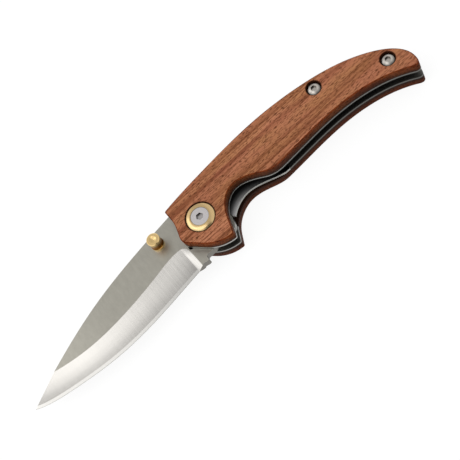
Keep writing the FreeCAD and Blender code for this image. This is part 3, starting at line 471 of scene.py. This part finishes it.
def liner_steel(finish):
    # Stainless sheet with painted shade: dark satin faces and edges, with fine lines along the handle, and
    # a painted highlight, a thin bright line along the middle of the rounded edges: wider round
    # the pivot, fainter towards the butt and on the back liner.
    material, tree = new_material("shade_painted stainless sheet")
    tone, bump = rolling_marks(tree, finish)
    colour = add_node(tree, "ShaderNodeMix", {FACTOR: 1.0, UNDER: finish.liner, OVER: tone}, **MULTIPLY)
    height = coordinate(tree, "Z")
    reach = add_node(tree, "ShaderNodeMapRange", {
        "Value": coordinate(tree, "X"), "From Min": LINE_NARROWS[0], "From Max": LINE_NARROWS[1],
        "To Min": finish.wide_highlight_line / 2, "To Max": finish.highlight_line / 2})
    back, front = [add_node(tree, "ShaderNodeMath", {0: height, 1: level, 2: reach}, operation="COMPARE")
                   for level in LINER_MIDDLES]
    back = add_node(tree, "ShaderNodeMath", {0: back, 1: 0.65}, operation="MULTIPLY")
    bright = add_node(tree, "ShaderNodeMath", {0: back, 1: front}, operation="MAXIMUM")
    wall = add_node(tree, "ShaderNodeMath", {0: level_share(tree), 1: WALL_LEVEL}, operation="LESS_THAN")
    bright = add_node(tree, "ShaderNodeMath", {0: wall, 1: bright}, operation="MULTIPLY")
    highlight_fade = add_node(tree, "ShaderNodeMapRange", {
        "Value": coordinate(tree, "X"), "From Min": LINE_FADES[0], "From Max": LINE_FADES[1],
        "To Min": 1.0, "To Max": 0.5})
    bright = add_node(tree, "ShaderNodeMath", {0: bright, 1: highlight_fade}, operation="MULTIPLY")
    face = add_node(tree, "ShaderNodeMapRange", {"Value": wall, "To Min": 0.35, "To Max": 0.0})
    bright = add_node(tree, "ShaderNodeMath", {0: bright, 1: face}, operation="MAXIMUM")
    colour = add_node(tree, "ShaderNodeMix", {FACTOR: bright, UNDER: finish.cut, OVER: colour}, **BLEND)
    close_surface(tree, {"Base Color": colour, "Metallic": 1.0, "Roughness": 0.35, "Normal": bump})
    return material


def lock_steel(finish):
    # Spring steel of the lock bar: satin like the liners, its face painted light towards the end by the tang
    # and along the finger groove, and painted dark as shade away from them, between the liners.
    material, tree = new_material("satin spring steel")
    tone, bump = rolling_marks(tree, finish)
    low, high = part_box("lock_bar")
    along = add_node(tree, "ShaderNodeMapRange", {
        "Value": coordinate(tree, "X"), "From Min": low[0], "From Max": high[0]})
    shade = add_node(tree, "ShaderNodeValToRGB", {"Fac": along}, (
        (0.0, grey(0.95)), (0.24, grey(0.45)), (0.43, grey(0.16)), (0.65, grey(0.05))))
    # Painted light at the edge of the finger groove, fading into painted shade further in.
    inward = add_node(tree, "ShaderNodeMapRange", {
        "Value": axis_distance(tree, [GROOVE_CENTRE]),
        "From Min": GROOVE_RADIUS, "From Max": GROOVE_RADIUS + GROOVE_SHADE_WIDTH})
    painted_lit = add_node(tree, "ShaderNodeValToRGB", {"Fac": inward}, (
        (0.0, grey(1.15)), (0.3, grey(0.75)), (0.55, grey(0.3)), (0.9, grey(0.06))))
    shade = add_node(tree, "ShaderNodeMix", {FACTOR: 1.0, UNDER: shade, OVER: painted_lit}, **MULTIPLY)
    face = add_node(tree, "ShaderNodeMath", {0: level_share(tree), 1: WALL_LEVEL}, operation="GREATER_THAN")
    shade = add_node(tree, "ShaderNodeMix", {FACTOR: face, UNDER: finish.liner, OVER: shade}, **BLEND)
    colour = add_node(tree, "ShaderNodeMix", {FACTOR: 1.0, UNDER: shade, OVER: tone}, **MULTIPLY)
    close_surface(tree, {"Base Color": colour, "Metallic": 1.0, "Roughness": 0.55, "Normal": bump})
    return material


def turned_metal(name, colour, roughness, centres, line, socket=None, shaded_rim=None, waist=None, anisotropic=0.0):
    # A metal turned on a lathe: uneven rings round its axis, drawn coarser than real ones so that they show.
    # A shaded socket is given as its radius, its floor from the middle of the handle and its colour,
    # a rim of painted shade as the radii where it starts and ends, and a waist of painted shade that mirrors
    # itself as its foot and its crown, both from the middle of the handle, and its tint.
    material, tree = new_material(name)
    radius = axis_distance(tree, centres)
    turns = add_node(tree, "ShaderNodeMath", {0: radius, 1: line}, operation="DIVIDE")
    rings = add_node(tree, "ShaderNodeTexNoise", {"W": turns, "Scale": 1.0, "Detail": 2.0},
                     noise_dimensions="1D")
    tone = add_node(tree, "ShaderNodeValToRGB", {"Fac": rings}, ((0.3, grey(0.86)), (0.7, grey(1.0))))
    shade = add_node(tree, "ShaderNodeMix", {FACTOR: 1.0, UNDER: colour, OVER: tone}, **MULTIPLY)
    if shaded_rim:
        start, end = shaded_rim
        outward = add_node(tree, "ShaderNodeMapRange", {"Value": radius, "From Min": start, "From Max": end})
        rim_shade = add_node(tree, "ShaderNodeValToRGB", {"Fac": outward}, (
            (0.0, grey(1.0)), (1.0, grey(0.15))))
        shade = add_node(tree, "ShaderNodeMix", {FACTOR: 1.0, UNDER: shade, OVER: rim_shade}, **MULTIPLY)
    if waist:
        foot, crown, deep = waist
        rise = add_node(tree, "ShaderNodeMapRange", {
            "Value": off_middle(tree), "From Min": foot, "From Max": crown})
        waist_shade = add_node(tree, "ShaderNodeValToRGB", {"Fac": rise}, (
            (0.15, grey(1.0)), (0.2, deep), (0.6, deep), (0.75, grey(0.7)), (0.93, grey(1.0))))
        shade = add_node(tree, "ShaderNodeMix", {FACTOR: 1.0, UNDER: shade, OVER: waist_shade}, **MULTIPLY)
    if socket:
        reach, floor, dark = socket
        inside = add_node(tree, "ShaderNodeMath", {0: radius, 1: reach}, operation="LESS_THAN")
        side = add_node(tree, "ShaderNodeMath", {0: level_share(tree), 1: WALL_LEVEL}, operation="LESS_THAN")
        sunk = add_node(tree, "ShaderNodeMath", {0: off_middle(tree), 1: floor + SOCKET_NEAR},
                        operation="LESS_THAN")
        sunk = add_node(tree, "ShaderNodeMath", {0: sunk, 1: 0.35}, operation="MULTIPLY")
        sunk = add_node(tree, "ShaderNodeMath", {0: sunk, 1: side}, operation="MAXIMUM")
        inside = add_node(tree, "ShaderNodeMath", {0: inside, 1: sunk}, operation="MULTIPLY")
        shade = add_node(tree, "ShaderNodeMix", {FACTOR: inside, UNDER: shade, OVER: dark}, **BLEND)
    bump = add_node(tree, "ShaderNodeBump", {"Height": rings, "Strength": 0.25, "Distance": 0.02 * MM})
    sockets = {"Base Color": shade, "Metallic": 1.0, "Roughness": roughness, "Normal": bump}
    if anisotropic:
        sockets["Anisotropic"] = anisotropic
        sockets["Tangent"] = add_node(tree, "ShaderNodeTangent", direction_type="RADIAL", axis="Z")
    close_surface(tree, sockets)
    return material


def moulded_nylon():
    # Black nylon: a dull moulded skin, very slightly mottled, so near-black that it is also painted shade
    # between the liners.
    material, tree = new_material("black nylon")
    mottle = streaks(tree, NYLON_MOTTLE, NYLON_MOTTLE)
    colour = add_node(tree, "ShaderNodeValToRGB", {"Fac": mottle}, ((0.3, grey(0.008)), (0.7, grey(0.02))))
    close_surface(tree, {"Base Color": colour, "Roughness": 0.55, "IOR": 1.53})
    return material


class KNIFE_OT_scales(bpy.types.Operator):
    """Finish the two wooden scales"""
    bl_idname = "knife.scales"
    bl_label = "Wooden scales"

    def execute(self, context):
        dress(("scale_front", "scale_back"), oiled_wood(context.scene.knife_wood))
        return {"FINISHED"}


class KNIFE_OT_blade(bpy.types.Operator):
    """Finish the blade: satin flats and ground bevels"""
    bl_idname = "knife.blade"
    bl_label = "Blade"

    def execute(self, context):
        dress(("blade",), ground_blade_steel(context.scene.knife_steel))
        return {"FINISHED"}


class KNIFE_OT_liners(bpy.types.Operator):
    """Finish the liners, the lock bar and what lies between the liners"""
    bl_idname = "knife.liners"
    bl_label = "Liners and lock"

    def execute(self, context):
        steel = context.scene.knife_steel
        dress(("liner_front", "liner_back"), liner_steel(steel))
        dress(("lock_bar",), lock_steel(steel))
        # Turned steel: bright pins with faint rings.
        for name in ("pivot_barrel", "stop_pin"):
            dress((name,), turned_metal(
                "turned steel", steel.liner, 0.25, [axis_of(name)], steel.lathe_line))
        dress(("spacer_barrels",), turned_metal(
            "turned steel", steel.liner, 0.25, screw_axes(), steel.lathe_line))
        dress(("backspacer",), moulded_nylon())
        return {"FINISHED"}


class KNIFE_OT_ball(bpy.types.Operator):
    """Grind the back of the detent ball flush with the lock bar, so that it clears the scale when shut"""
    bl_idname = "knife.ball"
    bl_label = "Detent ball"

    def execute(self, context):
        # The ball is cut by the plane through the hinge that lies level when the bar is flush.
        lock = next(joint for joint in frame["joints"] if joint["name"] == "lock_release")
        swing = Matrix.Rotation(math.radians(lock["range_deg"][1]), 3, lock["axis"])
        low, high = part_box("detent_ball")
        bpy.ops.object.select_all(action="DESELECT")
        bpy.ops.mesh.primitive_uv_sphere_add(
            segments=48, ring_count=24, radius=(high.x - low.x) / 2, location=(low + high) / 2)
        ball = context.object
        ball.name = "ground_ball"
        bpy.ops.object.transform_apply(location=True, rotation=False, scale=False)
        bpy.ops.object.mode_set(mode="EDIT")
        bpy.ops.mesh.select_all(action="SELECT")
        bpy.ops.mesh.bisect(plane_co=lock["pos_m"], plane_no=swing.inverted() @ Vector((0, 0, 1)),
                            use_fill=True, clear_inner=True, threshold=0.001 * MM)
        bpy.ops.object.mode_set(mode="OBJECT")
        bpy.ops.object.shade_smooth_by_angle(angle=math.radians(30))
        # Bearing steel: nearly a mirror.
        steel = context.scene.knife_steel
        ball.data.materials.append(turned_metal(
            "bearing steel", steel.liner, 0.15, [axis_of("detent_ball")], steel.lathe_line))
        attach(ball, "lock_bar")
        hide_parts("detent_ball")
        return {"FINISHED"}


class KNIFE_OT_brass(bpy.types.Operator):
    """Finish the brass collars, the thumb stud and the bronze washers"""
    bl_idname = "knife.brass"
    bl_label = "Brass pieces"

    def execute(self, context):
        finish = context.scene.knife_brass
        # Polished brass: a warm ring with a broad soft highlight.
        collars = ("pivot_collar_front", "pivot_collar_back")
        dress(collars, turned_metal(
            "polished brass", finish.brass, 0.2, [axis_of(collars[0])], finish.lathe_line))
        # Turned brass: brighter, with highlights that fan out from the middle of the head, and painted shade
        # on its waist.
        studs = ("thumb_stud", "thumb_stud_nut")
        dress(studs, turned_metal(
            "turned brass", finish.stud, 0.16, [axis_of(studs[0])], finish.lathe_line,
            waist=(BLADE_FACE, STUD_CROWN, finish.waist), anisotropic=0.5))
        # Phosphor bronze: redder and duller than the brass.
        washers = ("washer_front", "washer_back")
        dress(washers, turned_metal(
            "phosphor bronze", finish.bronze, 0.35, [axis_of(washers[0])], finish.lathe_line))
        return {"FINISHED"}


class KNIFE_OT_screws(bpy.types.Operator):
    """Finish the pivot screw and the body screws"""
    bl_idname = "knife.screws"
    bl_label = "Screws"

    def execute(self, context):
        steel = context.scene.knife_steel
        # Satin screw steel: a pale, even disc with a dark outline of painted shade.
        radius, depth = PIVOT_SOCKET
        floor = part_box("pivot_screw")[1][2] - depth - MIDDLE
        dress(("pivot_screw",), turned_metal(
            "satin screw steel", steel.pivot, 0.32, [axis_of("pivot_screw")], steel.lathe_line,
            socket=(radius, floor, steel.socket), shaded_rim=PIVOT_RIM))
        # Polished screw steel: button heads, bright in the middle and painted dark as shade towards the rim.
        radius, depth = BODY_SOCKET
        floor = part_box("body_screws_front")[1][2] - depth - MIDDLE
        dress(("body_screws_front", "body_screws_back"), turned_metal(
            "polished screw steel", steel.screw, 0.22, screw_axes(), steel.lathe_line,
            socket=(radius, floor, steel.socket), shaded_rim=BODY_RIM))
        return {"FINISHED"}


def lay_paper(context, light):
    # White paper: it glows for the rays that see it, and takes the knife's shadow as well.
    bpy.ops.object.select_all(action="DESELECT")
    bpy.ops.mesh.primitive_plane_add(size=FLOOR_SIZE, location=(0, 0, -FLOOR_GAP))
    floor = context.object
    floor.name = "floor"
    paper, tree = new_material("white paper")
    seen = add_node(tree, "ShaderNodeLightPath", give="Is Camera Ray")
    for ray in ("Is Glossy Ray", "Is Transmission Ray"):
        seen = add_node(tree, "ShaderNodeMath", {
            0: seen, 1: add_node(tree, "ShaderNodeLightPath", give=ray)}, operation="MAXIMUM")
    strength = add_node(tree, "ShaderNodeMath", {0: seen, 1: light.floor_glow}, operation="MULTIPLY")
    matt = add_node(tree, "ShaderNodeBsdfDiffuse", {"Color": grey(light.floor_matt)})
    glow = add_node(tree, "ShaderNodeEmission", {"Color": light.floor, "Strength": strength})
    both = add_node(tree, "ShaderNodeAddShader", {0: matt, 1: glow})
    add_node(tree, "ShaderNodeOutputMaterial", {"Surface": both}, give=None)
    floor.data.materials.append(paper)


def hang_softboxes(context, light):
    # One softbox looks straight down, and the other, beyond the point, is aimed at the pivot.
    for name, place, power, aimed in (("softbox_above", ABOVE_PLACE, light.above_power, False),
                                      ("softbox_left", LEFT_PLACE, light.side_power, True)):
        bpy.ops.object.light_add(type="AREA", location=place)
        lamp = context.object
        lamp.name = name
        lamp.data.shape = "RECTANGLE"
        lamp.data.size = light.box_length
        lamp.data.size_y = light.box_width
        lamp.data.energy = power
        if aimed:
            lamp.rotation_euler = (-Vector(place)).to_track_quat("-Z", "Y").to_euler()


def hang_tent(scene, light):
    # A light tent: bright beyond the point and softer over the handle, with a darker gap
    # on the photo's side. It is white where the camera sees it, and low down it lights matt surfaces less.
    world = bpy.data.worlds.new("light tent")
    scene.world = world
    world.use_nodes = True
    sky = world.node_tree
    sky.nodes.clear()
    way = add_node(sky, "ShaderNodeTexCoord", give="Generated")
    sideways = add_node(sky, "ShaderNodeSeparateXYZ", {0: way}, give="X")
    across = add_node(sky, "ShaderNodeMapRange", {"Value": sideways, "From Min": -1.0, "From Max": 1.0})
    tent = add_node(sky, "ShaderNodeValToRGB", {"Fac": across}, (
        (0.3, grey(1.05)), (0.42, grey(0.9)), (0.5, grey(0.62)), (0.58, grey(0.6)), (0.72, grey(0.85))))
    toward = add_node(sky, "ShaderNodeVectorMath", {0: way, 1: GAP_WAY},
                      give="Value", operation="DOT_PRODUCT")
    gap = add_node(sky, "ShaderNodeMapRange", {
        "Value": toward, "From Min": GAP_EDGE[0], "From Max": GAP_EDGE[1]})
    room = add_node(sky, "ShaderNodeMix", {FACTOR: gap, UNDER: tent, OVER: grey(0.18)}, **BLEND)
    height = add_node(sky, "ShaderNodeSeparateXYZ", {0: way}, give="Z")
    lower = add_node(sky, "ShaderNodeValToRGB", {"Fac": height}, ((0.0, grey(0.15)), (0.4, grey(1.0))))
    mirrored = add_node(sky, "ShaderNodeMath", {
        0: add_node(sky, "ShaderNodeLightPath", give="Is Glossy Ray"),
        1: add_node(sky, "ShaderNodeLightPath", give="Is Transmission Ray")}, operation="MAXIMUM")
    dim = add_node(sky, "ShaderNodeMix", {FACTOR: mirrored, UNDER: lower, OVER: grey(1.0)}, **BLEND)
    room = add_node(sky, "ShaderNodeMix", {FACTOR: 1.0, UNDER: room, OVER: dim}, **MULTIPLY)
    seen = add_node(sky, "ShaderNodeLightPath", give="Is Camera Ray")
    shown = add_node(sky, "ShaderNodeMix", {FACTOR: seen, UNDER: room, OVER: light.floor}, **BLEND)
    glow = add_node(sky, "ShaderNodeBackground", {"Color": shown, "Strength": 1.0})
    add_node(sky, "ShaderNodeOutputWorld", {"Surface": glow}, give=None)


class KNIFE_OT_stage(bpy.types.Operator):
    """Lay the floor and set the light and the camera"""
    bl_idname = "knife.stage"
    bl_label = "Studio"

    def execute(self, context):
        scene = context.scene
        light = scene.knife_light
        scene.view_settings.view_transform = "Standard"
        lay_paper(context, light)
        hang_softboxes(context, light)
        hang_tent(scene, light)
        bpy.ops.object.camera_add()
        camera = context.object
        turn = Matrix(CAMERA_AXES).transposed().to_4x4()
        camera.matrix_world = Matrix.Translation(CAMERA_PLACE) @ turn
        camera.data.sensor_width = CAMERA_SENSOR
        camera.data.lens = CAMERA_LENS
        camera.data.clip_start = 0.01
        scene.camera = camera
        return {"FINISHED"}


PIECES = (KNIFE_OT_scales, KNIFE_OT_blade, KNIFE_OT_liners, KNIFE_OT_ball, KNIFE_OT_brass, KNIFE_OT_screws,
          KNIFE_OT_stage)


class KNIFE_PT_finish(bpy.types.Panel):
    """Finishes of the knife"""
    bl_label = "Folding knife"
    bl_idname = "KNIFE_PT_finish"
    bl_space_type = "VIEW_3D"
    bl_region_type = "UI"
    bl_category = "Knife"

    def draw(self, context):
        for operator in PIECES:
            self.layout.operator(operator.bl_idname)


SETTINGS = {"knife_wood": WoodFinish, "knife_steel": SteelFinish, "knife_brass": BrassFinish,
            "knife_light": StudioLight}


def register():
    for group in SETTINGS.values():
        bpy.utils.register_class(group)
    for name, group in SETTINGS.items():
        setattr(bpy.types.Scene, name, bpy.props.PointerProperty(type=group))
    for operator in PIECES:
        bpy.utils.register_class(operator)
    bpy.utils.register_class(KNIFE_PT_finish)


def unregister():
    bpy.utils.unregister_class(KNIFE_PT_finish)
    for operator in reversed(PIECES):
        bpy.utils.unregister_class(operator)
    for name, group in SETTINGS.items():
        delattr(bpy.types.Scene, name)
        bpy.utils.unregister_class(group)


def main():
    register()
    bpy.ops.knife.scales()
    bpy.ops.knife.blade()
    bpy.ops.knife.liners()
    bpy.ops.knife.ball()
    bpy.ops.knife.brass()
    bpy.ops.knife.screws()
    bpy.ops.knife.stage()


if __name__ == "__main__":
    main()
